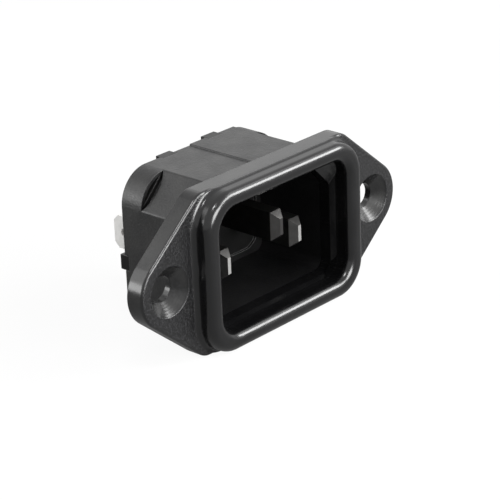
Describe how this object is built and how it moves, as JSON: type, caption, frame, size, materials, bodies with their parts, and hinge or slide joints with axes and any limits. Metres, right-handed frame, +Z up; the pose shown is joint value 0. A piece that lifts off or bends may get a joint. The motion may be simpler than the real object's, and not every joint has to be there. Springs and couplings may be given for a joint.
{
  "type": "iec panel inlet",
  "caption": "Screw-flanged panel power inlet: a raised collar round a recess with chamfered top corners, flat bevelled pins inside and quick-connect tabs at the rear.",
  "frame": {"origin": "centre of the flange's rear face, on the panel's front surface, midway between the two screw holes", "axes": "+X to the right as the user sees the front, +Y back through the panel, +Z up, towards the earth pin"},
  "size_m": [0.05, 0.0254, 0.0226],
  "materials": {
    "housing_plastic": "black, fine matt texture",
    "carrier_plastic": "black, plain",
    "contact_metal": "bright nickel plate"
  },
  "bodies": {
    "root": {"front_housing": "housing_plastic", "contact_carrier": "carrier_plastic", "line_contact": "contact_metal", "neutral_contact": "contact_metal", "earth_contact": "contact_metal"}
  },
  "joints": []
}
